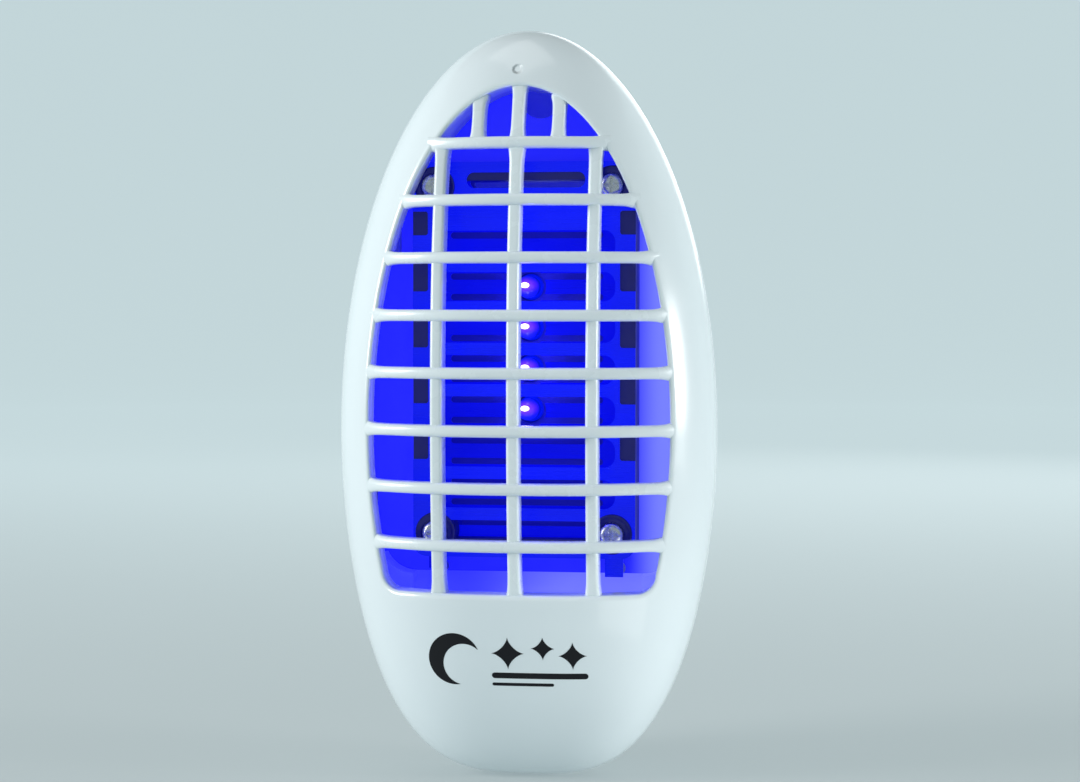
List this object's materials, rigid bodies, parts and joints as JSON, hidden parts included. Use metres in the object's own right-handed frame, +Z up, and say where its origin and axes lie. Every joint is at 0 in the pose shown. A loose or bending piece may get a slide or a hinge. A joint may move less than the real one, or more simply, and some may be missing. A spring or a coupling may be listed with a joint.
{
  "type": "electric bug zapper",
  "caption": "Plug-in bug zapper: domed egg-shaped case, barred window, electrode plates, blue light and a catch tray.",
  "frame": {"origin": "on the flat back face that lies against the wall plate, midway between the two plug blades", "axes": "+X to the right seen from the front, -Y out of the wall towards the room, +Z up"},
  "size_m": [0.0846, 0.0669, 0.165],
  "materials": {
    "white_shell": "moulded gloss",
    "white_case": "moulded satin",
    "liner_plastic": "matt, lit blue from in front",
    "frame_plastic": "matt",
    "electrode_steel": "bright sheet",
    "screw_steel": "plated",
    "circuit_board": "solder mask",
    "film_box": "matt",
    "can_sleeve": "gloss sleeve",
    "disc_ceramic": "dipped",
    "diode_black": "matt",
    "resistor_beige": "lacquered",
    "blade_brass": "nickelled",
    "switch_black": "fine grain",
    "plate_silver": "blank film",
    "lead_black": "insulation",
    "lead_white": "insulation",
    "lead_red": "insulation",
    "led_lens": "lit ultraviolet lens"
  },
  "bodies": {
    "case": {"blade_contact_left": "blade_brass", "blade_contact_right": "blade_brass", "blade_left": "blade_brass", "blade_right": "blade_brass", "front_electrode": "electrode_steel", "front_electrode_lead": "lead_red", "front_grid_frame": "frame_plastic", "fuse_resistor": "resistor_beige", "grid_screws": "screw_steel", "inner_liner": "liner_plastic", "insect_chute": "liner_plastic", "insulating_washers": "frame_plastic", "led_board": "circuit_board", "led_board_screws": "screw_steel", "led_lead": "lead_black", "live_lead": "lead_black", "mains_film_capacitor": "film_box", "multiplier_capacitors": "disc_ceramic", "neutral_lead": "lead_white", "plug_block": "frame_plastic", "plug_bridge": "screw_steel", "plug_screws": "screw_steel", "power_board": "circuit_board", "power_board_screws": "screw_steel", "rating_plate": "plate_silver", "rear_case": "white_case", "rear_electrode": "electrode_steel", "rear_electrode_lead": "lead_white", "rear_grid_frame": "frame_plastic", "rectifier_diodes": "diode_black", "resistors": "resistor_beige", "smoothing_capacitor": "can_sleeve", "switch_body": "switch_black", "switch_lead": "lead_black", "uv_led_1": "led_lens", "uv_led_2": "led_lens", "uv_led_3": "led_lens", "uv_led_4": "led_lens"},
    "cover": {"front_cover": "white_shell", "grille_bars_across": "white_shell", "grille_bars_upright": "white_shell"},
    "tray": {"catch_tray": "white_case"},
    "switch": {"switch_knob": "switch_black"}
  },
  "joints": [
    {"name": "cover_pull", "type": "slide", "parent": "case", "child": "cover", "axis": [0, -1, 0], "range_m": [0, 0.022]},
    {"name": "tray_slide", "type": "slide", "parent": "case", "child": "tray", "axis": [0, 0, -1], "range_m": [0, 0.02]},
    {"name": "switch_slide", "type": "slide", "parent": "case", "child": "switch", "axis": [0, 0, 1], "range_m": [0, 0.004]}
  ]
}
